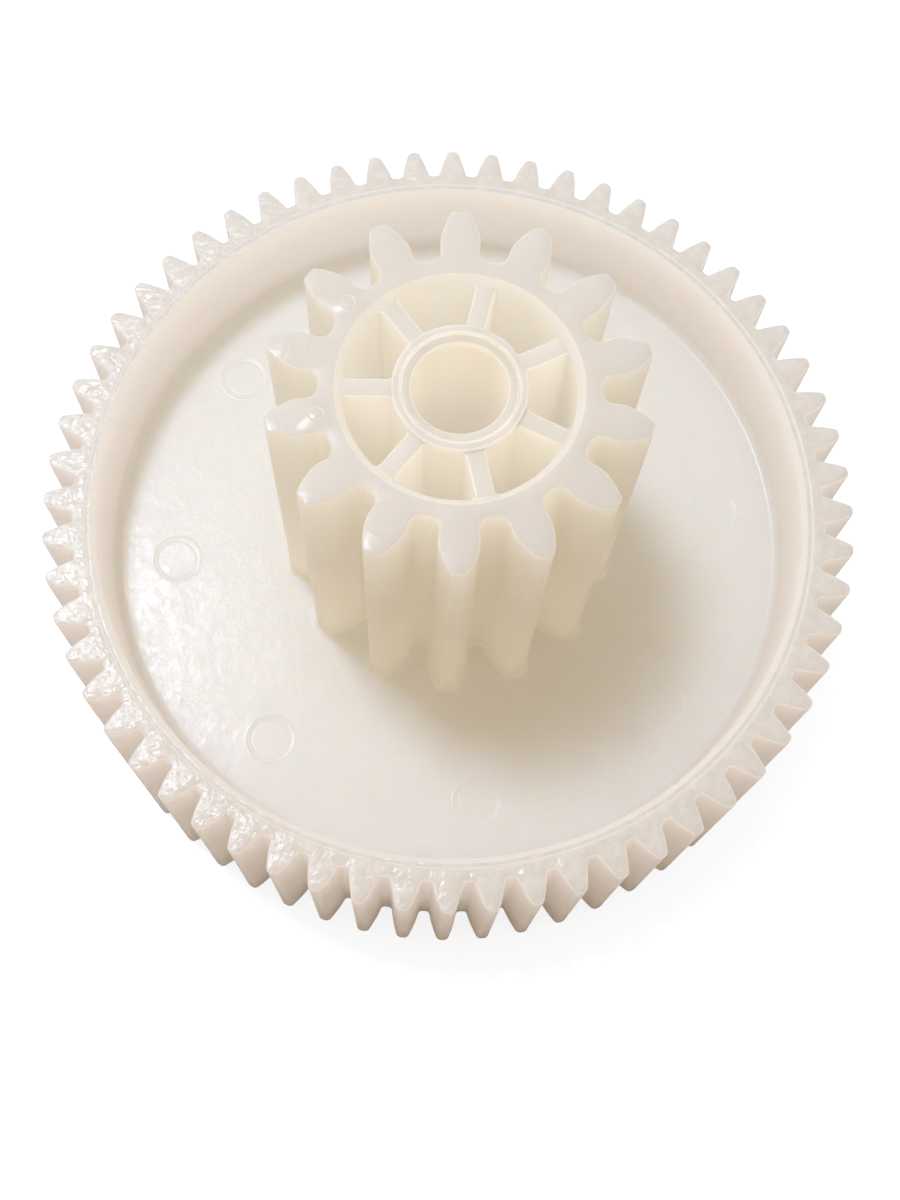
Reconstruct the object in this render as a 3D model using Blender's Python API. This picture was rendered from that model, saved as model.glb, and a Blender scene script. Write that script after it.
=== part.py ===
"""Compound spur gear of moulded plastic: a dished 60-tooth wheel and a tall, cored 14-tooth pinion on
one axis, with a hub core in the pinion and a plain bush in the core's bore. Metres, +Z up. The origin
is on the bore's axis, at the wheel's lower face."""

import math

import bmesh
import bpy
from mathutils import Vector

MM = 0.001
FULL_TURN = 2 * math.pi
PRESSURE_ANGLE = math.radians(20)
ADDENDUM = 1.0
DEDENDUM = 1.25

# Driving dimensions.
WHEEL_MODULE = 1.25 * MM
WHEEL_TEETH = 60
WHEEL_WIDTH = 21.5 * MM
PINION_MODULE = 2.0 * MM
PINION_TEETH = 14
PINION_TOP = 48.0 * MM
DISH_DEPTH = 8.75 * MM
WEB_THICKNESS = 3.25 * MM
RIM_MOUTH_RADIUS = 33.8 * MM
RIM_CHAMFER = 0.5 * MM
RIM_ROOT_RADIUS = 33.3 * MM
WEB_FILLET = 1.2 * MM
BOSS_RADIUS = 19.5 * MM
BOSS_BOTTOM = 3.0 * MM
SOCKET_CLEARANCE = 0.3 * MM
CORE_RADIUS = 9.55 * MM
CORE_CHAMFER = 0.65 * MM
CORE_CLEARANCE = 0.3 * MM
FLOOR_CLEARANCE = 0.2 * MM
TUBE_RADIUS = 5.55 * MM
TUBE_BORE_RADIUS = 4.9 * MM
RIB_COUNT = 7
RIB_WIDTH = 1.6 * MM
RIB_RECESS = 0.5 * MM
BUSH_RADIUS = 4.8 * MM
BUSH_BORE_RADIUS = 4.0 * MM
BUSH_END_RECESS = 0.25 * MM

# How finely the round shapes are divided.
WHEEL_CIRCLE_POINTS = 80
CORE_CIRCLE_POINTS = 56
FILLET_STEPS = 3

WEB_TOP = WHEEL_WIDTH - DISH_DEPTH
WEB_BOTTOM = WEB_TOP - WEB_THICKNESS


def polar(radius, angle):
    return Vector((radius * math.cos(angle), radius * math.sin(angle)))


def circle(radius, count):
    return [polar(radius, FULL_TURN * step / count) for step in range(count)]


def involute(angle):
    return math.tan(angle) - angle


def half_tooth(module, teeth, flank_steps):
    """(radius, half the tooth's angle) up one flank, from the root to the tip."""
    pitch_radius = module * teeth / 2
    base_radius = pitch_radius * math.cos(PRESSURE_ANGLE)
    root_radius = pitch_radius - DEDENDUM * module
    tip_radius = pitch_radius + ADDENDUM * module
    half_at_base = math.pi / (2 * teeth) + involute(PRESSURE_ANGLE)
    start_radius = max(base_radius, root_radius)
    flank = [] if root_radius >= base_radius else [(root_radius, half_at_base)]
    for step in range(flank_steps + 1):
        radius = start_radius + (tip_radius - start_radius) * step / flank_steps
        turned = math.acos(min(1.0, base_radius / radius))
        flank.append((radius, half_at_base - involute(turned)))
    return flank


def rounded_corner(before, corner, after, radius, steps):
    """The arc that replaces a sharp corner between two straight edges."""
    to_before = (before - corner).normalized()
    to_after = (after - corner).normalized()
    half_angle = to_before.angle(to_after) / 2
    start = corner + to_before * radius / math.tan(half_angle)
    centre = corner + (to_before + to_after).normalized() * radius / math.sin(half_angle)
    arm = start - centre
    sweep = math.pi - 2 * half_angle
    side = 1 if to_before.cross(to_after) < 0 else -1
    points = []
    for step in range(steps + 1):
        turn = side * sweep * step / steps
        cosine, sine = math.cos(turn), math.sin(turn)
        points.append(centre + Vector((arm.x * cosine - arm.y * sine, arm.x * sine + arm.y * cosine)))
    return points


def gear_outline(module, teeth, flank_steps, root_round, root_steps, tip_round):
    """Closed counter-clockwise outline of a spur gear, with a tooth centred on +Y."""
    flank = half_tooth(module, teeth, flank_steps)
    root_radius = flank[0][0]
    points, rounding = [], []
    for tooth in range(teeth):
        centre = math.pi / 2 + FULL_TURN * tooth / teeth
        points.append(polar(root_radius, centre - math.pi / teeth))
        rounding.append(None)
        for place, (radius, half) in enumerate(flank):
            points.append(polar(radius, centre - half))
            rounding.append(corner_rounding(place, len(flank), root_round, root_steps, tip_round))
        for place, (radius, half) in reversed(list(enumerate(flank))):
            points.append(polar(radius, centre + half))
            rounding.append(corner_rounding(place, len(flank), root_round, root_steps, tip_round))
    outline = []
    for index, point in enumerate(points):
        if rounding[index] is None:
            outline.append(point)
            continue
        before, after = points[index - 1], points[(index + 1) % len(points)]
        outline.extend(rounded_corner(before, point, after, *rounding[index]))
    return outline


def corner_rounding(place, count, root_round, root_steps, tip_round):
    """(radius, steps) at the root and at the tip of a flank, and None between them."""
    if place == 0:
        return root_round, root_steps
    if place == count - 1:
        return tip_round, 1
    return None


def grown(outline, distance):
    """The outline moved outwards by a distance, square to its edges."""
    moved = []
    for index, point in enumerate(outline):
        arriving = (point - outline[index - 1]).normalized()
        leaving = (outline[(index + 1) % len(outline)] - point).normalized()
        normal = Vector((arriving.y + leaving.y, -arriving.x - leaving.x)).normalized()
        stretch = normal.dot(Vector((arriving.y, -arriving.x)))
        moved.append(point + normal * distance / stretch)
    return moved


def ring(mesh, outline, height):
    return [mesh.verts.new((point.x, point.y, height)) for point in outline]


def wall(mesh, lower, upper):
    """Faces between two rings with the same number of points."""
    for index in range(len(lower)):
        after = (index + 1) % len(lower)
        mesh.faces.new((lower[index], lower[after], upper[after], upper[index]))


def flat_face(mesh, *rings):
    """A level face with the first ring as its edge, and the others as holes in it."""
    edges = []
    for loop in rings:
        for index, vertex in enumerate(loop):
            pair = (vertex, loop[(index + 1) % len(loop)])
            edges.append(mesh.edges.get(pair) or mesh.edges.new(pair))
    bmesh.ops.triangle_fill(mesh, use_beauty=True, edges=edges)


def turned(mesh, profile, count):
    """The rings of a turned surface, joined by walls. The profile lists (radius, height)."""
    rings = [ring(mesh, circle(radius, count), height) for radius, height in profile]
    for lower, upper in zip(rings, rings[1:]):
        wall(mesh, lower, upper)
    return rings


def fillet(centre_radius, centre_height, radius, start, end):
    """(radius, height) points of an arc in the turned profile, between two angles in degrees."""
    points = []
    for step in range(FILLET_STEPS + 1):
        angle = math.radians(start + (end - start) * step / FILLET_STEPS)
        points.append((centre_radius + radius * math.cos(angle), centre_height + radius * math.sin(angle)))
    return points


def add_piece(name, mesh, material):
    bmesh.ops.recalc_face_normals(mesh, faces=mesh.faces)
    data = bpy.data.meshes.new(name)
    mesh.to_mesh(data)
    mesh.free()
    data.shade_smooth()
    data.set_sharp_from_angle(angle=math.radians(30))
    data.materials.append(material)
    piece = bpy.data.objects.new(name, data)
    bpy.context.scene.collection.objects.link(piece)
    return piece


def plastic(name, color, roughness):
    material = bpy.data.materials.new(name)
    material.use_nodes = True
    surface = material.node_tree.nodes["Principled BSDF"]
    surface.inputs["Base Color"].default_value = (*color, 1.0)
    surface.inputs["Roughness"].default_value = roughness
    surface.inputs["Metallic"].default_value = 0.0
    return material


def pinion_outline():
    return gear_outline(
        PINION_MODULE, PINION_TEETH, flank_steps=5, root_round=0.8 * MM, root_steps=3, tip_round=0.2 * MM
    )


def wheel_gear(material):
    """Toothed rim, dished web and the boss with the pinion's socket, in one body."""
    mesh = bmesh.new()
    teeth = gear_outline(
        WHEEL_MODULE, WHEEL_TEETH, flank_steps=3, root_round=0.3 * MM, root_steps=1, tip_round=0.15 * MM
    )
    socket = grown(pinion_outline(), SOCKET_CLEARANCE)
    bottom_teeth, top_teeth = ring(mesh, teeth, 0.0), ring(mesh, teeth, WHEEL_WIDTH)
    wall(mesh, bottom_teeth, top_teeth)
    socket_bottom, socket_top = ring(mesh, socket, BOSS_BOTTOM), ring(mesh, socket, WEB_TOP)
    wall(mesh, socket_bottom, socket_top)

    inner_wall = RIM_ROOT_RADIUS - WEB_FILLET
    mouth = [
        (RIM_MOUTH_RADIUS + RIM_CHAMFER, WHEEL_WIDTH),
        (RIM_MOUTH_RADIUS, WHEEL_WIDTH - RIM_CHAMFER),
    ]
    dish = turned(
        mesh, mouth + fillet(inner_wall, WEB_TOP + WEB_FILLET, WEB_FILLET, 0, -90), WHEEL_CIRCLE_POINTS
    )
    lower_corner = fillet(inner_wall, WEB_BOTTOM - WEB_FILLET, WEB_FILLET, 90, 0)
    lower_mouth = [(RIM_MOUTH_RADIUS, RIM_CHAMFER), (RIM_MOUTH_RADIUS + RIM_CHAMFER, 0.0)]
    under = turned(mesh, lower_corner + lower_mouth, WHEEL_CIRCLE_POINTS)
    boss_corner = fillet(BOSS_RADIUS + WEB_FILLET, WEB_BOTTOM - WEB_FILLET, WEB_FILLET, 180, 90)
    boss = turned(mesh, [(BOSS_RADIUS, BOSS_BOTTOM)] + boss_corner, WHEEL_CIRCLE_POINTS)

    flat_face(mesh, top_teeth, dish[0])
    flat_face(mesh, dish[-1], socket_top)
    flat_face(mesh, boss[0], socket_bottom)
    flat_face(mesh, under[0], boss[-1])
    flat_face(mesh, bottom_teeth, under[-1])
    return add_piece("wheel_gear", mesh, material)


def pinion_gear(material):
    """Cored 14-tooth pinion, whose teeth go down through the web into the socket."""
    mesh = bmesh.new()
    teeth = pinion_outline()
    bottom_teeth, top_teeth = ring(mesh, teeth, BOSS_BOTTOM), ring(mesh, teeth, PINION_TOP)
    wall(mesh, bottom_teeth, top_teeth)
    bore = turned(
        mesh,
        [
            (CORE_RADIUS, BOSS_BOTTOM),
            (CORE_RADIUS, PINION_TOP - CORE_CHAMFER),
            (CORE_RADIUS + CORE_CHAMFER, PINION_TOP),
        ],
        CORE_CIRCLE_POINTS,
    )
    flat_face(mesh, top_teeth, bore[-1])
    flat_face(mesh, bottom_teeth, bore[0])
    return add_piece("pinion_gear", mesh, material)


def star_outline():
    """The bore tube with its ribs, as one closed outline, and the indices of its points on the tube."""
    rib_reach = CORE_RADIUS - CORE_CLEARANCE
    half_at_tube = math.asin(RIB_WIDTH / 2 / TUBE_RADIUS)
    half_at_end = math.asin(RIB_WIDTH / 2 / rib_reach)
    arc_steps = 6
    points, on_tube, ribs = [], [], []
    for rib in range(RIB_COUNT):
        centre = math.pi + FULL_TURN * rib / RIB_COUNT
        first = len(points)
        points.append(polar(TUBE_RADIUS, centre - half_at_tube))
        points.append(polar(rib_reach, centre - half_at_end))
        points.append(polar(rib_reach, centre + half_at_end))
        points.append(polar(TUBE_RADIUS, centre + half_at_tube))
        ribs.append(range(first, first + 4))
        on_tube.extend((first, first + 3))
        arc = FULL_TURN / RIB_COUNT - 2 * half_at_tube
        for step in range(1, arc_steps):
            on_tube.append(len(points))
            points.append(polar(TUBE_RADIUS, centre + half_at_tube + arc * step / arc_steps))
    return points, on_tube, ribs


def hub_core(material):
    """Bore tube, seven ribs and the floor that closes the pockets between them."""
    mesh = bmesh.new()
    star, on_tube, ribs = star_outline()
    floor_radius = CORE_RADIUS - FLOOR_CLEARANCE
    rib_top = PINION_TOP - RIB_RECESS
    lower_tube = turned(mesh, [(TUBE_RADIUS, 0.0), (TUBE_RADIUS, WEB_BOTTOM)], CORE_CIRCLE_POINTS)
    floor = turned(mesh, [(floor_radius, WEB_BOTTOM), (floor_radius, WEB_TOP)], CORE_CIRCLE_POINTS)
    flat_face(mesh, floor[0], lower_tube[-1])
    star_bottom, star_top = ring(mesh, star, WEB_TOP), ring(mesh, star, rib_top)
    flat_face(mesh, floor[-1], star_bottom)
    wall(mesh, star_bottom, star_top)
    for rib in ribs:
        mesh.faces.new([star_top[index] for index in rib])
    tube_low = [star_top[index] for index in on_tube]
    tube_top = ring(mesh, [star[index] for index in on_tube], PINION_TOP)
    wall(mesh, tube_low, tube_top)
    bore = turned(mesh, [(TUBE_BORE_RADIUS, 0.0), (TUBE_BORE_RADIUS, PINION_TOP)], CORE_CIRCLE_POINTS)
    flat_face(mesh, tube_top, bore[-1])
    flat_face(mesh, lower_tube[0], bore[0])
    return add_piece("hub_core", mesh, material)


def spindle_bush(material):
    """Plain liner in the core's bore, on which the gear turns."""
    mesh = bmesh.new()
    low, high = BUSH_END_RECESS, PINION_TOP - BUSH_END_RECESS
    outside = turned(mesh, [(BUSH_RADIUS, low), (BUSH_RADIUS, high)], CORE_CIRCLE_POINTS)
    inside = turned(mesh, [(BUSH_BORE_RADIUS, low), (BUSH_BORE_RADIUS, high)], CORE_CIRCLE_POINTS)
    wall(mesh, outside[-1], inside[-1])
    wall(mesh, outside[0], inside[0])
    return add_piece("spindle_bush", mesh, material)


for existing in list(bpy.data.objects):
    bpy.data.objects.remove(existing)

natural_plastic = plastic("natural_plastic", (0.86, 0.81, 0.70), 0.38)
bush_plastic = plastic("bush_plastic", (0.82, 0.75, 0.58), 0.32)

gear_axis = bpy.data.objects.new("gear_axis", None)
bpy.context.scene.collection.objects.link(gear_axis)
for make_piece in (wheel_gear, pinion_gear, hub_core):
    make_piece(natural_plastic).parent = gear_axis
spindle_bush(bush_plastic)
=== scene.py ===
"""The compound gear as it looks: a translucent, cream-coloured moulding with rounded tooth edges, witness
marks of the mould's ejector pins and a plain liner in its bore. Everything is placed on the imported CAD
model. Metres, +Z up, the bore's axis on Z."""

import math
from types import SimpleNamespace

import bmesh
import bpy
from mathutils import Matrix, Vector


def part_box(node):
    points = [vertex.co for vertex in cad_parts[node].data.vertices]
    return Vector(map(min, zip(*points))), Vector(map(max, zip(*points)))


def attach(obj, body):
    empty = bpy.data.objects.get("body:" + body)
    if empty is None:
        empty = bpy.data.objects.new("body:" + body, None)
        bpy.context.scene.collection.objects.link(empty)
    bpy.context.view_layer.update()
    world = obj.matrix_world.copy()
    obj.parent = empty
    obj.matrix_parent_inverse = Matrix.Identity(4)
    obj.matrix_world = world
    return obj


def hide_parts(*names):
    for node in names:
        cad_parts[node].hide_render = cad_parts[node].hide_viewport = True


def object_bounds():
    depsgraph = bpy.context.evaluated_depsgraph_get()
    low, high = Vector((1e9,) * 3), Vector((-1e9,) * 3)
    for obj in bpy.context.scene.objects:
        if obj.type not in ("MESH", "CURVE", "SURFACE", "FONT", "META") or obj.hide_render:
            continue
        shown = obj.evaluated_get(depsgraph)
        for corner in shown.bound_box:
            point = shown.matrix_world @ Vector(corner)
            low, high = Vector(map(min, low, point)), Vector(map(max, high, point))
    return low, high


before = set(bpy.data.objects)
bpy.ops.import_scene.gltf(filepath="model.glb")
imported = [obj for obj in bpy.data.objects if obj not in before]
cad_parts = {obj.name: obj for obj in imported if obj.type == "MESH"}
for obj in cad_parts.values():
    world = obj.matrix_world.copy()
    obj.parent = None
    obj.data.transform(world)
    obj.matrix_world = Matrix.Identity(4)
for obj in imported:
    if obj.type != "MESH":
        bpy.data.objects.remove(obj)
cad_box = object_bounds()

MM = 0.001
FULL_TURN = 2 * math.pi
PRESSURE_ANGLE = math.radians(20)
ADDENDUM = 1.0
DEDENDUM = 1.25
WHEEL_TEETH = 60
PINION_TEETH = 14

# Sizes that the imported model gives.
wheel_low, wheel_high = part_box("wheel_gear")
pinion_low, pinion_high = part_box("pinion_gear")
core_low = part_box("hub_core")[0]
bush_low, bush_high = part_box("spindle_bush")
WHEEL_MODULE = (wheel_high.y - wheel_low.y) / (WHEEL_TEETH + 2 * ADDENDUM)
PINION_MODULE = (pinion_high.y - pinion_low.y) / (PINION_TEETH + 2 * ADDENDUM)
WHEEL_TOP = wheel_high.z
PINION_TOP = pinion_high.z
BOSS_BOTTOM = pinion_low.z
PINION_RADIUS = pinion_high.y
BUSH_RADIUS = bush_high.y

# The wheel's dish, web and boss.
WEB_TOP = 12.75 * MM
WEB_BOTTOM = 9.5 * MM
MOUTH_RADIUS = 34.3 * MM
RIM_RADIUS = 33.8 * MM
RIM_ROOT_RADIUS = 33.3 * MM
RIM_CHAMFER = 0.5 * MM
RIM_ROUND = 0.12 * MM
RIM_GROOVE_RADIUS = 34.8 * MM
RIM_GROOVE_HALF = 0.14 * MM
RIM_GROOVE_DEPTH = 0.09 * MM
WEB_FILLET = 0.8 * MM
WEB_EDGE_RADIUS = 31.9 * MM
BOSS_RADIUS = 19.5 * MM
FOOT_FILLET = 0.5 * MM
FOOT_SWEEP = math.radians(70)
FOOT_SEAM = 0.02 * MM

# The pinion's bore, the core in it and the liner.
CORE_BORE_RADIUS = 9.55 * MM
CORE_CHAMFER = 0.65 * MM
CORE_SEAM = 0.02 * MM
FLOOR_SEAM = 0.01 * MM
TUBE_RADIUS = 5.55 * MM
TUBE_BORE_RADIUS = 4.9 * MM
BUSH_BORE_RADIUS = 4.0 * MM
RIB_COUNT = 7
RIB_WIDTH = 1.6 * MM
RIB_RECESS = 0.5 * MM
RIB_FILLET = 0.45 * MM
RIB_FLARE = 0.35 * MM
RIB_END_SHARES = (0.97, 0.5)

# Roundings.
WHEEL_TIP_ROUND = 0.55 * MM
WHEEL_ROOT_ROUND = 0.38 * MM
PINION_TIP_ROUND = 0.5 * MM
PINION_ROOT_ROUND = 1.0 * MM
TOOTH_EDGE_ROUND = 0.18 * MM
CORE_EDGE_ROUND = 0.2 * MM
BUSH_EDGE_ROUND = 0.15 * MM

# How finely rounded stretches are divided.
EDGE_STEPS = 4
FILLET_STEPS = 6
TIP_STEPS = 5
MARK_STEPS = 3
TUBE_ARC_STEPS = 10
RIB_BASE_STEPS = 6
WHEEL_FLANK_STEPS = 7
PINION_FLANK_STEPS = 14
WHEEL_SIDES = 240
CORE_SIDES = 112
MARK_SIDES = 40
SHARP_ANGLE = math.radians(50)
SAME_POINT = 1e-3 * MM

# Witness marks of the ejector pins.
WEB_MARK_COUNT = 8
WEB_MARK_TURN = math.radians(141.3)
WEB_MARK_CIRCLE = 27.1 * MM
WEB_MARK_RADIUS = 2.4 * MM
TOOTH_MARK_STEPS = (-2, 2, 4)
TOOTH_MARK_CIRCLE = 11.8 * MM
TOOTH_MARK_RADIUS = 0.66 * MM
MARK_LINE = 0.07
MARK_LEAST_RISE = 0.005 * MM
MARK_RISE = 0.018
MARK_DISC_DROP = 0.2

# Tones of the plastic, as linear colours, and the darker tints painted as shade on the end faces, the
# pinion's flanks and the wheel's tooth sides.
BODY_TONES = ((0.99, 0.977, 0.945), (0.98, 0.965, 0.93))
LINER_TONES = ((0.985, 0.972, 0.935), (0.975, 0.96, 0.92))
THROUGH_TONE = (0.995, 0.985, 0.95)
PAINTED_END_SHADE = (0.785, 0.775, 0.77)
PAINTED_RIM_END_SHADES = ((0.78, 0.775, 0.745), (0.82, 0.82, 0.795))
PAINTED_FLANK_SHADE = (0.943, 0.923, 0.872)
PAINTED_SIDE_SHADE = (0.947, 0.914, 0.897)

# The glow that stands for light that has crossed the moulding.
BODY_GLOW = 0.054
LINER_GLOW = 0.09
WALL_GLOW = 0.085
FOOT_GLOW = 0.1
GLOW_TONE = (0.96, 0.905, 1.0)
FOOT_GLOW_TONE = (1.0, 0.95, 0.74)

# How much light each plastic passes and scatters, and how rough it is.
BODY_PASSED = 0.6
LINER_PASSED = 0.7
INSIDE_PASSED = 0.6
BODY_ROUGHNESS = (0.35, 0.5)
LINER_ROUGHNESS = (0.31, 0.46)
SCATTER_SHARE = 0.75
SCATTER_RADII = (1.0, 0.72, 0.45)
SCATTER_DEPTH = 4.0 * MM
REFRACTION = 1.5
SPECULAR = 0.35
COAT = 0.3
RIM_COAT = 0.8
COAT_ROUGHNESS = (0.12, 0.24)
RIM_COAT_ROUGHER = 0.1

# Noise patterns as (scale per metre, detail), and the range of each that is used for a tone or gloss.
CLOUD = (90, 3)
CLOUD_RANGE = (0.35, 0.65)
SPECKLE = (1600, 2)
SPECKLE_RANGE = (0.35, 0.7)
CREASES = (1000, 2)
CREASE_RANGE = (0.4, 0.6)
SKIN = (260, 3)
GRAIN = (1300, 3)

# Relief of the patterns, and its strength on the sides and on the faces that look up.
SKIN_HEIGHT = 0.12 * MM
SKIN_STRENGTH = (0.1, 0.5)
GRAIN_HEIGHT = 0.035 * MM
GRAIN_STRENGTH = (0.05, 0.65)
CREASE_HEIGHT = 0.15 * MM

# Where the regions of the plastic begin, and where they are reached in full. The first two are values of
# the normal's Z, and the others are radii and heights.
LEVEL = (0.9, 0.98)
STEEP = (0.7, 0.2)
RIM_BAND = (RIM_RADIUS, MOUTH_RADIUS)
WALL_BAND = (RIM_ROOT_RADIUS - 1.0 * MM, RIM_ROOT_RADIUS)
WALL_HEIGHT = (WEB_TOP, WEB_TOP + 2.0 * MM)
CORED_BAND = (CORE_BORE_RADIUS + 1.0 * MM, CORE_BORE_RADIUS + 0.2 * MM)
PINION_END = (PINION_TOP - 0.8 * MM, PINION_TOP - 0.55 * MM)
BELOW_END = (PINION_TOP - 0.6 * MM, PINION_TOP - 2.5 * MM)
PINION_BAND = (PINION_RADIUS + 1.0 * MM, PINION_RADIUS)
NEAR_PINION = (PINION_RADIUS + 11.0 * MM, PINION_RADIUS + 1.0 * MM)
DISH_HEIGHT = (WEB_TOP - 1.0 * MM, WEB_TOP - 0.5 * MM)
ABOVE_WEB = (WEB_TOP + 0.1 * MM, WEB_TOP + 0.6 * MM)
FOOT_HEIGHT = (WEB_TOP + 22.0 * MM, WEB_TOP + 1.0 * MM)

# The lamp, the surround and the floor.
LAMP_AZIMUTH = math.radians(135)
LAMP_ELEVATION = math.radians(69)
LAMP_DISTANCE = 1.5
LAMP_SPREAD = math.radians(12)
LAMP_WATTS = 18.5
LAMP_TONE = (0.75, 0.836, 1.0)
ROOM_TONE = (0.7, 0.546, 0.367)
ROOM_BACK_TONE = (0.17, 0.36, 0.53)
WHITE = (1.0, 1.0, 1.0)
DIFFUSE_BOUNCES = 16
ALL_BOUNCES = 20
FLOOR_HALF_SIZE = 3.0
FLOOR_GAP = 0.1 * MM
FLOOR_TO_LIGHT = (0.45, 0.45, 0.45)
FLOOR_SEEN = (0.36, 0.445, 0.615)
FLOOR_SEEN_GLOW = 0.74
FLOOR_ROUGHNESS = 0.9

# The camera.
VIEW_AZIMUTH = math.radians(-4.67)
VIEW_ELEVATION = math.radians(72.27)
VIEW_ROLL = math.radians(5.28)
VIEW_TARGET = Vector((0.0, -9.6 * MM, WHEEL_TOP))
VIEW_DISTANCE = 155.95 * MM
SENSOR_WIDTH = 36.0
FOCAL_LENGTH = 49.87
CLIP = (0.01, 20.0)


def polar(radius, angle):
    """The point at a radius and an angle."""
    return Vector((radius * math.cos(angle), radius * math.sin(angle)))


def circle(radius, count, centre=Vector((0, 0))):
    return [centre + polar(radius, FULL_TURN * step / count) for step in range(count)]


def arc_between(centre, first, last, steps):
    """Points from first to last round a centre, the shorter way, both ends included."""
    start = math.atan2(first.y - centre.y, first.x - centre.x)
    end = math.atan2(last.y - centre.y, last.x - centre.x)
    sweep = (end - start + math.pi) % FULL_TURN - math.pi
    radius = (first - centre).length
    return [centre + polar(radius, start + sweep * step / steps) for step in range(steps + 1)]


def rounded_path(*corners, steps=EDGE_STEPS):
    """The open line through corners of (x, y) or (x, y, rounding), each rounded as it says."""
    spots = [Vector(corner[:2]) for corner in corners]
    points = [spots[0]]
    for index in range(1, len(spots) - 1):
        corner = spots[index]
        if len(corners[index]) == 2:
            points.append(corner)
            continue
        radius = corners[index][2]
        to_before = (spots[index - 1] - corner).normalized()
        to_after = (spots[index + 1] - corner).normalized()
        half_angle = to_before.angle(to_after) / 2
        reach = radius / math.tan(half_angle)
        centre = corner + (to_before + to_after).normalized() * radius / math.sin(half_angle)
        arc = arc_between(centre, corner + to_before * reach, corner + to_after * reach, steps)
        if (arc[0] - points[-1]).length < SAME_POINT:
            arc = arc[1:]
        points.extend(arc)
    if (points[-1] - spots[-1]).length > SAME_POINT:
        points.append(spots[-1])
    return points


def half_tooth(module, teeth, tip_round, root_round, detail):
    """Points of half a tooth, from the middle of the gap to the tip, with the tooth's middle on +X."""
    pitch_radius = module * teeth / 2
    base = pitch_radius * math.cos(PRESSURE_ANGLE)
    root = pitch_radius - DEDENDUM * module
    tip = pitch_radius + ADDENDUM * module
    half_at_base = math.pi / (2 * teeth) + math.tan(PRESSURE_ANGLE) - PRESSURE_ANGLE

    def roll(radius):
        return math.sqrt(max(0.0, (radius / base) ** 2 - 1))

    def flank_angle(radius):
        return half_at_base - roll(radius) + math.atan(roll(radius))

    fillet_place = root + root_round
    if fillet_place ** 2 < base ** 2 + root_round ** 2:
        fillet_angle = half_at_base + math.asin(root_round / fillet_place)
        flank_start = math.sqrt(fillet_place ** 2 - root_round ** 2)
    else:
        fillet_angle = flank_angle(fillet_place) + root_round / base
        flank_start = base * math.sqrt(1 + (roll(fillet_place) - root_round / base) ** 2)
    tip_place = tip - tip_round
    tip_angle = flank_angle(tip_place) - tip_round / base
    flank_end = base * math.sqrt(1 + (roll(tip_place) + tip_round / base) ** 2)

    flank = []
    for step in range(detail + 1):
        radius = flank_start + (flank_end - flank_start) * step / detail
        flank.append(polar(radius, flank_angle(radius)))
    fillet = arc_between(polar(fillet_place, fillet_angle), polar(root, fillet_angle), flank[0], FILLET_STEPS)
    rounding = arc_between(polar(tip_place, tip_angle), flank[-1], polar(tip, tip_angle), TIP_STEPS)
    return [polar(root, math.pi / teeth)] + fillet + flank[1:] + rounding[1:]


def gear_outline(module, teeth, tip_round, root_round, detail):
    """Closed counter-clockwise outline of an involute gear, with a tooth centred on +Y."""
    half = half_tooth(module, teeth, tip_round, root_round, detail)
    outline = []
    for tooth in range(teeth):
        turn = Matrix.Rotation(math.pi / 2 + FULL_TURN * tooth / teeth, 2)
        outline.extend(turn @ Vector((point.x, -point.y)) for point in half)
        outline.extend(turn @ point for point in reversed(half[1:]))
    return outline


def grown(outline, distance):
    """The outline moved outwards by a distance, square to its edges."""
    moved = []
    for index, point in enumerate(outline):
        arriving = (point - outline[index - 1]).normalized()
        leaving = (outline[(index + 1) % len(outline)] - point).normalized()
        normal = Vector((arriving.y + leaving.y, -arriving.x - leaving.x)).normalized()
        stretch = normal.dot(Vector((arriving.y, -arriving.x)))
        moved.append(point + normal * distance / stretch)
    return moved


def ring(mesh, outline, height):
    """New vertices along an outline, at one height."""
    return [mesh.verts.new((point.x, point.y, height)) for point in outline]


def wall(mesh, lower, upper):
    """Faces between two rings with the same number of points."""
    for index in range(len(lower)):
        after = (index + 1) % len(lower)
        mesh.faces.new((lower[index], lower[after], upper[after], upper[index]))


def joined(mesh, rings):
    """The rings, once each is joined to the next by faces."""
    for lower, upper in zip(rings, rings[1:]):
        wall(mesh, lower, upper)
    return rings


def turned(mesh, path, count):
    """Rings of a surface turned about the axis. The path holds (radius, height)."""
    return joined(mesh, [ring(mesh, circle(point.x, count), point.y) for point in path])


def swept(mesh, outline, path):
    """Rings of a surface with the same outline all the way. The path holds (growth, height)."""
    return joined(mesh, [ring(mesh, grown(outline, point.x), point.y) for point in path])


def flat_face(mesh, *rings):
    """A level face with the first ring as its edge, and the others as holes in it."""
    edges = []
    for loop in rings:
        for index, vertex in enumerate(loop):
            pair = (vertex, loop[(index + 1) % len(loop)])
            edges.append(mesh.edges.get(pair) or mesh.edges.new(pair))
    bmesh.ops.triangle_fill(mesh, use_beauty=True, edges=edges)


def pin_mark(mesh, centre, radius, height):
    """The print of an ejector pin: a fine ridge round a disc with a groove in it. Returns its outer ring."""
    line = radius * MARK_LINE
    rise = MARK_LEAST_RISE + radius * MARK_RISE
    disc = height - rise * MARK_DISC_DROP
    path = rounded_path(
        (radius + line, height),
        (radius, height + rise, line / 2),
        (radius - line, disc, line / 2),
        (radius - 2 * line, disc),
        (radius - 3 * line, height - rise, line / 2),
        (radius - 4 * line, disc),
        steps=MARK_STEPS,
    )
    rings = joined(mesh, [ring(mesh, circle(point.x, MARK_SIDES, centre), point.y) for point in path])
    mesh.faces.new(rings[-1])
    return rings[0]


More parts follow.
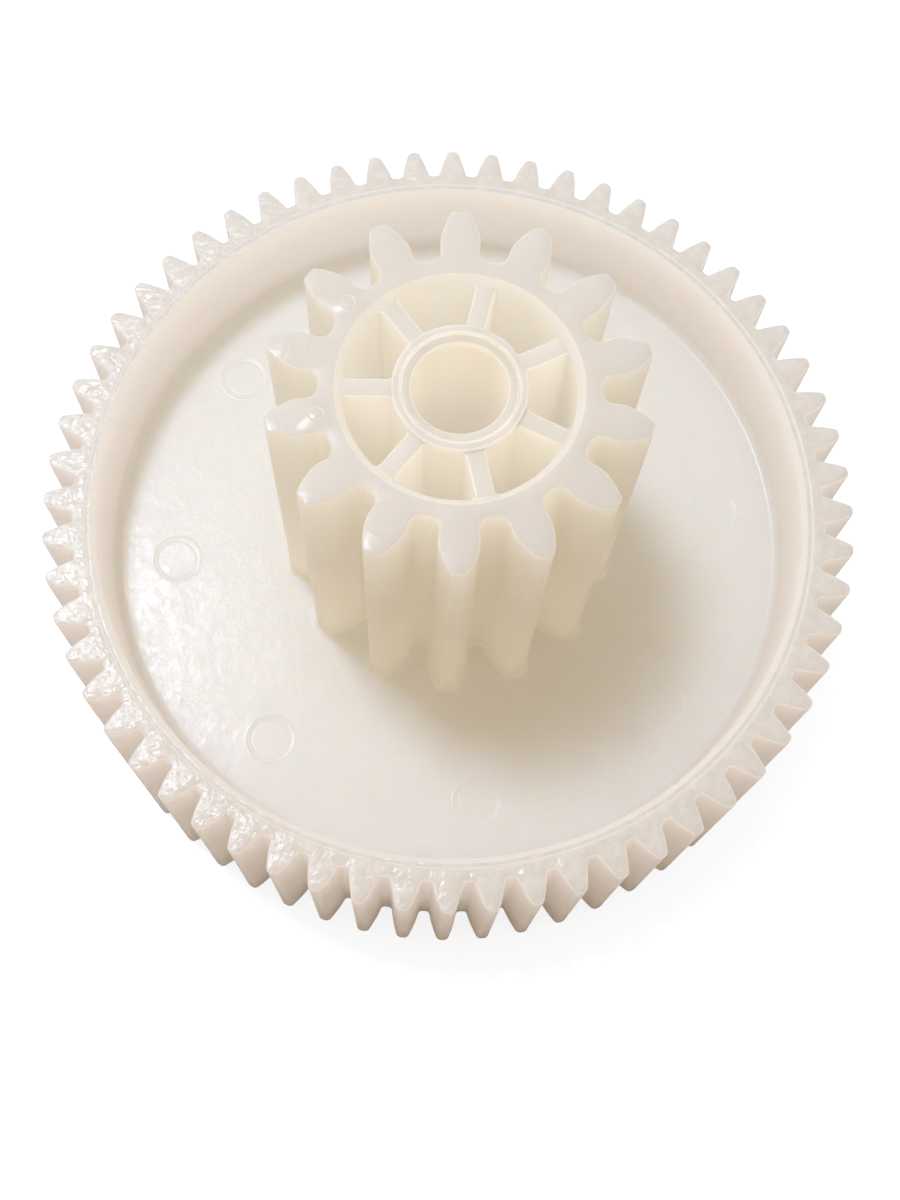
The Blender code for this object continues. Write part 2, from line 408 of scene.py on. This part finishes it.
def add_piece(name, mesh, material, body):
    bmesh.ops.recalc_face_normals(mesh, faces=mesh.faces)
    data = bpy.data.meshes.new(name)
    mesh.to_mesh(data)
    mesh.free()
    data.shade_smooth()
    data.set_sharp_from_angle(angle=SHARP_ANGLE)
    data.materials.append(material)
    piece = bpy.data.objects.new(name, data)
    bpy.context.scene.collection.objects.link(piece)
    even = piece.modifiers.new("even_shading", "WEIGHTED_NORMAL")
    even.keep_sharp = True
    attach(piece, body)
    return piece


def pinion_teeth():
    return gear_outline(
        PINION_MODULE, PINION_TEETH, PINION_TIP_ROUND, PINION_ROOT_ROUND, PINION_FLANK_STEPS
    )


def edge_path(radius, low, high, rounding, hole=False):
    """(radius, height) up the wall of a post, or of a hole, with both of its edges rounded."""
    end = radius + rounding if hole else radius - rounding
    return rounded_path((end, low), (radius, low, rounding), (radius, high, rounding), (end, high))


def wheel_gear(material):
    """Toothed rim, dished web with its pin marks, and the boss under it."""
    mesh = bmesh.new()
    teeth = gear_outline(
        WHEEL_MODULE, WHEEL_TEETH, WHEEL_TIP_ROUND, WHEEL_ROOT_ROUND, WHEEL_FLANK_STEPS
    )
    rim = swept(mesh, teeth, edge_path(0, wheel_low.z, WHEEL_TOP, TOOTH_EDGE_ROUND))

    dish_path = rounded_path(
        (RIM_GROOVE_RADIUS + RIM_GROOVE_HALF, WHEEL_TOP),
        (RIM_GROOVE_RADIUS, WHEEL_TOP - RIM_GROOVE_DEPTH, RIM_GROOVE_DEPTH),
        (RIM_GROOVE_RADIUS - RIM_GROOVE_HALF, WHEEL_TOP),
        (MOUTH_RADIUS, WHEEL_TOP, RIM_ROUND),
        (RIM_RADIUS, WHEEL_TOP - RIM_CHAMFER, RIM_ROUND),
        (RIM_ROOT_RADIUS, WEB_TOP, WEB_FILLET),
        (WEB_EDGE_RADIUS, WEB_TOP),
        steps=FILLET_STEPS,
    )
    dish = turned(mesh, dish_path, WHEEL_SIDES)
    foot_path = [
        Vector((FOOT_FILLET * (1 - math.sin(angle)), WEB_TOP + FOOT_FILLET * (1 - math.cos(angle))))
        for angle in (FOOT_SWEEP * step / EDGE_STEPS for step in range(EDGE_STEPS + 1))
    ]
    foot_path += [Vector((FOOT_SEAM, foot_path[-1].y)), Vector((FOOT_SEAM, BOSS_BOTTOM))]
    foot = swept(mesh, pinion_teeth(), foot_path)
    marks = []
    for step in range(WEB_MARK_COUNT):
        centre = polar(WEB_MARK_CIRCLE, WEB_MARK_TURN + FULL_TURN * step / WEB_MARK_COUNT)
        marks.append(pin_mark(mesh, centre, WEB_MARK_RADIUS, WEB_TOP))

    under_path = rounded_path(
        (WEB_EDGE_RADIUS, WEB_BOTTOM),
        (RIM_ROOT_RADIUS, WEB_BOTTOM, WEB_FILLET),
        (RIM_RADIUS, RIM_CHAMFER, RIM_ROUND),
        (MOUTH_RADIUS, wheel_low.z, RIM_ROUND),
        (MOUTH_RADIUS + RIM_ROUND, wheel_low.z),
        steps=FILLET_STEPS,
    )
    under = turned(mesh, under_path, WHEEL_SIDES)
    boss_path = rounded_path(
        (BOSS_RADIUS - CORE_EDGE_ROUND, BOSS_BOTTOM),
        (BOSS_RADIUS, BOSS_BOTTOM, CORE_EDGE_ROUND),
        (BOSS_RADIUS, WEB_BOTTOM, WEB_FILLET),
        (BOSS_RADIUS + WEB_FILLET, WEB_BOTTOM),
        steps=FILLET_STEPS,
    )
    boss = turned(mesh, boss_path, WHEEL_SIDES)

    flat_face(mesh, rim[-1], dish[0])
    flat_face(mesh, dish[-1], foot[0], *marks)
    flat_face(mesh, boss[0], foot[-1])
    flat_face(mesh, under[0], boss[-1])
    flat_face(mesh, rim[0], under[-1])
    piece = add_piece("wheel_gear_moulding", mesh, material, "gear")
    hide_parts("wheel_gear")


def pinion_gear(material):
    """Cored pinion with rounded tooth edges, and small pin marks on three of its teeth."""
    mesh = bmesh.new()
    teeth = swept(mesh, pinion_teeth(), edge_path(0, BOSS_BOTTOM, PINION_TOP, TOOTH_EDGE_ROUND))
    bore_path = rounded_path(
        (CORE_BORE_RADIUS, BOSS_BOTTOM),
        (CORE_BORE_RADIUS, PINION_TOP - CORE_CHAMFER, RIM_ROUND),
        (CORE_BORE_RADIUS + CORE_CHAMFER, PINION_TOP, RIM_ROUND),
        (CORE_BORE_RADIUS + CORE_CHAMFER + RIM_ROUND, PINION_TOP),
    )
    bore = turned(mesh, bore_path, CORE_SIDES)
    marks = []
    for step in TOOTH_MARK_STEPS:
        centre = polar(TOOTH_MARK_CIRCLE, math.pi / 2 + FULL_TURN * step / PINION_TEETH)
        marks.append(pin_mark(mesh, centre, TOOTH_MARK_RADIUS, PINION_TOP))
    flat_face(mesh, teeth[-1], bore[-1], *marks)
    flat_face(mesh, teeth[0], bore[0])
    piece = add_piece("pinion_gear_moulding", mesh, material, "gear")
    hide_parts("pinion_gear")


def half_rib():
    """(point, share of the edge rounding) from the tube to the rib's end, with the rib along +X."""
    half_width = RIB_WIDTH / 2
    reach = CORE_BORE_RADIUS - CORE_SEAM
    inner_side = half_width + RIB_FILLET
    inner = Vector((math.sqrt((TUBE_RADIUS + RIB_FILLET) ** 2 - inner_side ** 2), inner_side))
    outer_side = half_width + RIB_FLARE
    outer = Vector((math.sqrt((reach - RIB_FLARE) ** 2 - outer_side ** 2), outer_side))
    on_tube = inner * TUBE_RADIUS / inner.length
    on_bore = outer * reach / outer.length
    foot = arc_between(inner, on_tube, Vector((inner.x, half_width)), FILLET_STEPS)
    flare = arc_between(outer, Vector((outer.x, half_width)), on_bore, FILLET_STEPS)[:-1]
    line = [(point, step / FILLET_STEPS) for step, point in enumerate(foot)]
    line += [(point, 1 - step / (FILLET_STEPS - 1)) for step, point in enumerate(flare)]
    end = math.atan2(flare[-1].y, reach)
    line += [(polar(reach, end * share), 0.0) for share in RIB_END_SHARES]
    return line


def core_outline():
    """The closed line round the tube and its ribs: its points, each point's share of the edge rounding,
    (angle, first point, point after the last) of each rib, and half the angle between a rib's two sides,
    where they meet the tube."""
    half = half_rib()
    tube_angle = math.atan2(half[0][0].y, half[0][0].x)
    gap = FULL_TURN / RIB_COUNT - 2 * tube_angle
    outline, shares, ribs = [], [], []
    for rib in range(RIB_COUNT):
        centre = math.pi + FULL_TURN * rib / RIB_COUNT
        turn = Matrix.Rotation(centre, 2)
        first = len(outline)
        outline += [turn @ Vector((point.x, -point.y)) for point, share in half]
        outline += [turn @ point for point, share in reversed(half)]
        shares += [share for point, share in half + half[::-1]]
        ribs.append((centre, first, len(outline)))
        for step in range(1, TUBE_ARC_STEPS):
            outline.append(polar(TUBE_RADIUS, centre + tube_angle + gap * step / TUBE_ARC_STEPS))
            shares.append(0.0)
    return outline, shares, ribs, tube_angle


def hub_core(material):
    """Bore tube, seven ribs with rounded upper edges, and the floor of the pockets."""
    mesh = bmesh.new()
    outline, shares, ribs, tube_angle = core_outline()
    outwards = [far - near for far, near in zip(grown(outline, 1.0), outline)]
    rib_top = PINION_TOP - RIB_RECESS
    walls = [ring(mesh, outline, WEB_TOP)]
    for step in range(EDGE_STEPS + 1):
        angle = math.pi / 2 * step / EDGE_STEPS
        drawn_in = CORE_EDGE_ROUND * (1 - math.cos(angle))
        height = rib_top - CORE_EDGE_ROUND * (1 - math.sin(angle))
        moved = [point - way * share * drawn_in for point, way, share in zip(outline, outwards, shares)]
        walls.append(ring(mesh, moved, height))
    joined(mesh, walls)

    tube_low = []
    for rib, (centre, first, last) in enumerate(ribs):
        base = []
        for step in range(1, RIB_BASE_STEPS):
            point = polar(TUBE_RADIUS, centre - tube_angle + 2 * tube_angle * step / RIB_BASE_STEPS)
            base.append(mesh.verts.new((point.x, point.y, rib_top)))
        mesh.faces.new(walls[-1][first:last] + base[::-1])
        after = ribs[rib + 1][1] if rib + 1 < RIB_COUNT else len(outline)
        tube_low += [walls[-1][first]] + base + walls[-1][last - 1:after]
    tube_outline = [Vector(vertex.co[:2]) for vertex in tube_low]
    tube_path = rounded_path((0, rib_top), (0, PINION_TOP, CORE_EDGE_ROUND), (-CORE_EDGE_ROUND, PINION_TOP))
    tube = [tube_low] + [ring(mesh, grown(tube_outline, point.x), point.y) for point in tube_path[1:]]
    joined(mesh, tube)

    bore_path = edge_path(TUBE_BORE_RADIUS, core_low.z, PINION_TOP, BUSH_EDGE_ROUND, hole=True)
    bore = turned(mesh, bore_path, CORE_SIDES)
    floor_radius = CORE_BORE_RADIUS - FLOOR_SEAM
    floor = turned(mesh, [Vector((floor_radius, WEB_BOTTOM)), Vector((floor_radius, WEB_TOP))], CORE_SIDES)
    spigot_path = rounded_path(
        (TUBE_RADIUS - CORE_EDGE_ROUND, core_low.z),
        (TUBE_RADIUS, core_low.z, CORE_EDGE_ROUND),
        (TUBE_RADIUS, WEB_BOTTOM, RIB_FILLET),
        (TUBE_RADIUS + RIB_FILLET, WEB_BOTTOM),
    )
    spigot = turned(mesh, spigot_path, CORE_SIDES)
    flat_face(mesh, tube[-1], bore[-1])
    flat_face(mesh, spigot[0], bore[0])
    flat_face(mesh, floor[0], spigot[-1])
    flat_face(mesh, floor[-1], walls[0])
    piece = add_piece("hub_core_moulding", mesh, material, "gear")
    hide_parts("hub_core")


def spindle_bush(material):
    """Liner with rounded ends, on which the gear turns."""
    mesh = bmesh.new()
    low, high = bush_low.z, bush_high.z
    outside = turned(mesh, edge_path(BUSH_RADIUS, low, high, BUSH_EDGE_ROUND), CORE_SIDES)
    inside = turned(mesh, edge_path(BUSH_BORE_RADIUS, low, high, BUSH_EDGE_ROUND, hole=True), CORE_SIDES)
    wall(mesh, outside[-1], inside[-1])
    wall(mesh, outside[0], inside[0])
    piece = add_piece("spindle_bush_liner", mesh, material, "bush")
    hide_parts("spindle_bush")


class Nodes:
    """Short ways to add and join the nodes of a tree."""

    def __init__(self, tree):
        self.tree = tree

    def add(self, kind, **settings):
        node = self.tree.nodes.new("ShaderNode" + kind)
        for name, setting in settings.items():
            setattr(node, name, setting)
        return node

    def feed(self, value, socket):
        """Give a socket a link, a colour or a number."""
        if isinstance(value, bpy.types.NodeSocket):
            self.tree.links.new(value, socket)
        elif isinstance(value, tuple) and socket.type == "RGBA":
            socket.default_value = (*value, 1.0)
        else:
            socket.default_value = value

    def parts(self, vector):
        node = self.add("SeparateXYZ")
        self.feed(vector, node.inputs[0])
        return node.outputs

    def noise(self, place, scale, detail):
        node = self.add("TexNoise")
        node.inputs["Scale"].default_value = scale
        node.inputs["Detail"].default_value = detail
        self.feed(place, node.inputs["Vector"])
        return node.outputs["Fac"]

    def spread(self, value, low, high, to_low=0.0, to_high=1.0):
        """The value, mapped from the range low to high onto another and kept in it."""
        node = self.add("MapRange")
        for name, number in (("From Min", low), ("From Max", high), ("To Min", to_low), ("To Max", to_high)):
            node.inputs[name].default_value = number
        self.feed(value, node.inputs["Value"])
        return node.outputs["Result"]

    def between(self, share, outside, inside):
        """One number outside a region and another in it."""
        return self.spread(share, 0.0, 1.0, outside, inside)

    def maths(self, operation, *values):
        node = self.add("Math", operation=operation)
        for value, socket in zip(values, node.inputs):
            self.feed(value, socket)
        return node.outputs[0]

    def product(self, first, *others):
        for other in others:
            first = self.maths("MULTIPLY", first, other)
        return first

    def mixed(self, share, first, second):
        node = self.add("Mix", data_type="RGBA")
        self.feed(share, node.inputs["Factor"])
        for name, colour in (("A", first), ("B", second)):
            self.feed(colour, next(s for s in node.inputs if s.name == name and s.type == "RGBA"))
        return next(s for s in node.outputs if s.type == "RGBA")

    def bump(self, height, distance, strength, below=None):
        node = self.add("Bump")
        node.inputs["Distance"].default_value = distance
        self.feed(height, node.inputs["Height"])
        self.feed(strength, node.inputs["Strength"])
        if below:
            self.feed(below, node.inputs["Normal"])
        return node.outputs["Normal"]


def plastic_regions(nodes):
    """How far a point is in each region that looks different, from 0 to 1, by its place on the gear."""
    coordinates = nodes.add("TexCoord")
    place = coordinates.outputs["Object"]
    up = nodes.parts(coordinates.outputs["Normal"])["Z"]
    height = nodes.parts(place)["Z"]
    flat = nodes.add("VectorMath", operation="MULTIPLY")
    nodes.feed(place, flat.inputs[0])
    flat.inputs[1].default_value = (1.0, 1.0, 0.0)
    length = nodes.add("VectorMath", operation="LENGTH")
    nodes.feed(flat.outputs[0], length.inputs[0])
    radius = length.outputs["Value"]

    facing_up = nodes.spread(up, *LEVEL)
    on_rim = nodes.spread(radius, *RIM_BAND)
    off_rim = nodes.maths("SUBTRACT", 1.0, on_rim)
    cored = nodes.spread(radius, *CORED_BAND)
    round_core = nodes.maths("SUBTRACT", 1.0, cored)
    rim_end = nodes.product(facing_up, on_rim)
    pinion_end = nodes.product(facing_up, nodes.spread(height, *PINION_END))
    on_flanks = (nodes.spread(radius, *PINION_BAND), nodes.spread(height, *ABOVE_WEB))
    at_foot = (nodes.spread(radius, *NEAR_PINION), nodes.spread(height, *FOOT_HEIGHT))
    on_wall = (nodes.spread(radius, *WALL_BAND), nodes.spread(height, *WALL_HEIGHT))
    return SimpleNamespace(
        place=place,
        facing_up=facing_up,
        rim_end=rim_end,
        rim_side=nodes.product(on_rim, nodes.spread(up, *STEEP)),
        rim_wall=nodes.product(off_rim, *on_wall),
        end_face=nodes.maths("MAXIMUM", rim_end, pinion_end),
        inside=nodes.product(cored, nodes.spread(height, *BELOW_END)),
        flank=nodes.product(round_core, *on_flanks),
        foot=nodes.product(round_core, nodes.spread(height, *DISH_HEIGHT), *at_foot),
    )


def moulded_plastic(name, tones, passed, roughness, glow):
    """Natural, unpigmented plastic. Part of the light passes through each wall, and the glow stands for
    light that has crossed the whole moulding. The skin is faintly uneven under its gloss, and it is
    crinkled on the wheel's end faces."""
    material = bpy.data.materials.new(name)
    material.use_nodes = True
    nodes = Nodes(material.node_tree)
    surface = nodes.tree.nodes["Principled BSDF"]
    regions = plastic_regions(nodes)
    creases = nodes.noise(regions.place, *CREASES)
    speckle = nodes.noise(regions.place, *SPECKLE)
    # Painted shade on the wheel's end faces, its tone following the creases.
    rim_end_shade = nodes.mixed(nodes.spread(creases, *CREASE_RANGE), *PAINTED_RIM_END_SHADES)

    # Paints shade: the end faces, the pinion's flanks and the wheel's tooth sides get darker colours.
    def with_painted_shade(colour):
        # Painted shade on the pinion's flanks, below its end face.
        below_ends = nodes.mixed(regions.flank, colour, PAINTED_FLANK_SHADE)
        ends = nodes.mixed(regions.rim_end, PAINTED_END_SHADE, rim_end_shade)
        all_but_side = nodes.mixed(regions.end_face, below_ends, ends)
        # Painted shade on the sides of the wheel's teeth.
        return nodes.mixed(regions.rim_side, all_but_side, PAINTED_SIDE_SHADE)

    def relief(pattern, height, strength, below=None):
        return nodes.bump(nodes.noise(regions.place, *pattern), height, strength, below)

    cloud = nodes.spread(nodes.noise(regions.place, *CLOUD), *CLOUD_RANGE)
    skin = relief(SKIN, SKIN_HEIGHT, nodes.between(regions.facing_up, *SKIN_STRENGTH))
    grain = relief(GRAIN, GRAIN_HEIGHT, nodes.between(regions.facing_up, *GRAIN_STRENGTH), skin)
    crinkle = nodes.bump(creases, CREASE_HEIGHT, regions.rim_end, grain)
    glows = ((regions.inside, glow), (regions.rim_wall, WALL_GLOW), (regions.foot, FOOT_GLOW))
    in_pockets, on_wall, at_foot = (nodes.product(region, strength) for region, strength in glows)
    coat_roughness = nodes.spread(speckle, *SPECKLE_RANGE, *COAT_ROUGHNESS)
    rougher_on_rim = nodes.product(regions.rim_end, RIM_COAT_ROUGHER)
    for socket, value in {
        "Base Color": with_painted_shade(nodes.mixed(cloud, *tones)),
        "Roughness": nodes.spread(speckle, *SPECKLE_RANGE, *roughness),
        "IOR": REFRACTION,
        "Specular IOR Level": SPECULAR,
        "Normal": crinkle,
        "Subsurface Weight": SCATTER_SHARE,
        "Subsurface Radius": SCATTER_RADII,
        "Subsurface Scale": SCATTER_DEPTH,
        "Coat Weight": nodes.between(regions.rim_end, COAT, RIM_COAT),
        "Coat Roughness": nodes.maths("ADD", coat_roughness, rougher_on_rim),
        "Coat Normal": crinkle,
        "Emission Color": nodes.mixed(regions.foot, GLOW_TONE, FOOT_GLOW_TONE),
        "Emission Strength": nodes.maths("ADD", nodes.maths("ADD", in_pockets, on_wall), at_foot),
    }.items():
        nodes.feed(value, surface.inputs[socket])

    through = nodes.add("BsdfTranslucent")
    # The light passed through the walls carries the same painted shade.
    nodes.feed(with_painted_shade(THROUGH_TONE), through.inputs["Color"])
    both = nodes.add("MixShader")
    nodes.feed(nodes.between(regions.inside, passed, INSIDE_PASSED), both.inputs[0])
    nodes.feed(surface.outputs[0], both.inputs[1])
    nodes.feed(through.outputs[0], both.inputs[2])
    nodes.feed(both.outputs[0], nodes.tree.nodes["Material Output"].inputs["Surface"])
    material.cycles.emission_sampling = "NONE"
    return material


def pale_floor():
    """Nearly white to the camera, and mid grey to the light, so that little of it comes back from below."""
    mesh = bmesh.new()
    bmesh.ops.create_grid(mesh, x_segments=1, y_segments=1, size=FLOOR_HALF_SIZE)
    data = bpy.data.meshes.new("floor")
    mesh.to_mesh(data)
    mesh.free()
    material = bpy.data.materials.new("floor_white")
    material.use_nodes = True
    nodes = Nodes(material.node_tree)
    surface = nodes.tree.nodes["Principled BSDF"]
    seen = nodes.add("LightPath").outputs["Is Camera Ray"]
    nodes.feed(nodes.mixed(seen, FLOOR_TO_LIGHT, FLOOR_SEEN), surface.inputs["Base Color"])
    nodes.feed(FLOOR_ROUGHNESS, surface.inputs["Roughness"])
    nodes.feed(0.0, surface.inputs["Specular IOR Level"])
    nodes.feed(WHITE, surface.inputs["Emission Color"])
    nodes.feed(nodes.product(seen, FLOOR_SEEN_GLOW), surface.inputs["Emission Strength"])
    data.materials.append(material)
    floor = bpy.data.objects.new("floor", data)
    bpy.context.scene.collection.objects.link(floor)
    floor.location.z = cad_box[0].z - FLOOR_GAP


def key_lamp():
    """A soft lamp high on the far left."""
    away = Vector((
        math.cos(LAMP_AZIMUTH) * math.cos(LAMP_ELEVATION),
        math.sin(LAMP_AZIMUTH) * math.cos(LAMP_ELEVATION),
        math.sin(LAMP_ELEVATION),
    ))
    lamp = bpy.data.lights.new("key_lamp", "AREA")
    lamp.shape = "DISK"
    lamp.size = 2 * LAMP_DISTANCE * math.tan(LAMP_SPREAD / 2)
    lamp.energy = LAMP_WATTS
    lamp.color = LAMP_TONE
    key = bpy.data.objects.new("key_lamp", lamp)
    key.location = Vector((0, 0, WHEEL_TOP)) + away * LAMP_DISTANCE
    key.rotation_mode = "QUATERNION"
    key.rotation_quaternion = away.to_track_quat("Z", "Y")
    bpy.context.scene.collection.objects.link(key)


def surround():
    """A warm room, brighter and cooler towards the back, that the camera sees as white, and enough bounces
    for light to find its way through the moulding."""
    world = bpy.data.worlds.new("surround")
    world.use_nodes = True
    nodes = Nodes(world.node_tree)
    towards_back = nodes.parts(nodes.add("TexCoord").outputs["Generated"])["Y"]
    room = nodes.add("VectorMath", operation="MULTIPLY_ADD")
    nodes.feed(nodes.maths("MAXIMUM", towards_back, 0.0), room.inputs[0])
    nodes.feed(ROOM_BACK_TONE, room.inputs[1])
    nodes.feed(ROOM_TONE, room.inputs[2])
    seen = nodes.add("LightPath").outputs["Is Camera Ray"]
    nodes.feed(nodes.mixed(seen, room.outputs[0], WHITE), nodes.tree.nodes["Background"].inputs["Color"])
    scene = bpy.context.scene
    scene.world = world
    scene.view_settings.view_transform = "Standard"
    scene.cycles.diffuse_bounces = DIFFUSE_BOUNCES
    scene.cycles.max_bounces = ALL_BOUNCES


def camera():
    """Above the gear and a little in front of it, turned slightly about its own line of sight."""
    back = Vector((
        math.sin(VIEW_AZIMUTH) * math.cos(VIEW_ELEVATION),
        -math.cos(VIEW_AZIMUTH) * math.cos(VIEW_ELEVATION),
        math.sin(VIEW_ELEVATION),
    ))
    data = bpy.data.cameras.new("camera")
    data.sensor_width = SENSOR_WIDTH
    data.lens = FOCAL_LENGTH
    data.clip_start, data.clip_end = CLIP
    made = bpy.data.objects.new("camera", data)
    made.location = VIEW_TARGET + back * VIEW_DISTANCE
    made.rotation_mode = "QUATERNION"
    level = (-back).to_track_quat("-Z", "Y")
    made.rotation_quaternion = Matrix.Rotation(VIEW_ROLL, 3, back).to_quaternion() @ level
    bpy.context.scene.collection.objects.link(made)
    bpy.context.scene.camera = made


natural_plastic = moulded_plastic("moulded_natural", BODY_TONES, BODY_PASSED, BODY_ROUGHNESS, BODY_GLOW)
bush_plastic = moulded_plastic("moulded_bush", LINER_TONES, LINER_PASSED, LINER_ROUGHNESS, LINER_GLOW)
wheel_gear(natural_plastic)
pinion_gear(natural_plastic)
hub_core(natural_plastic)
spindle_bush(bush_plastic)
pale_floor()
key_lamp()
surround()
camera()
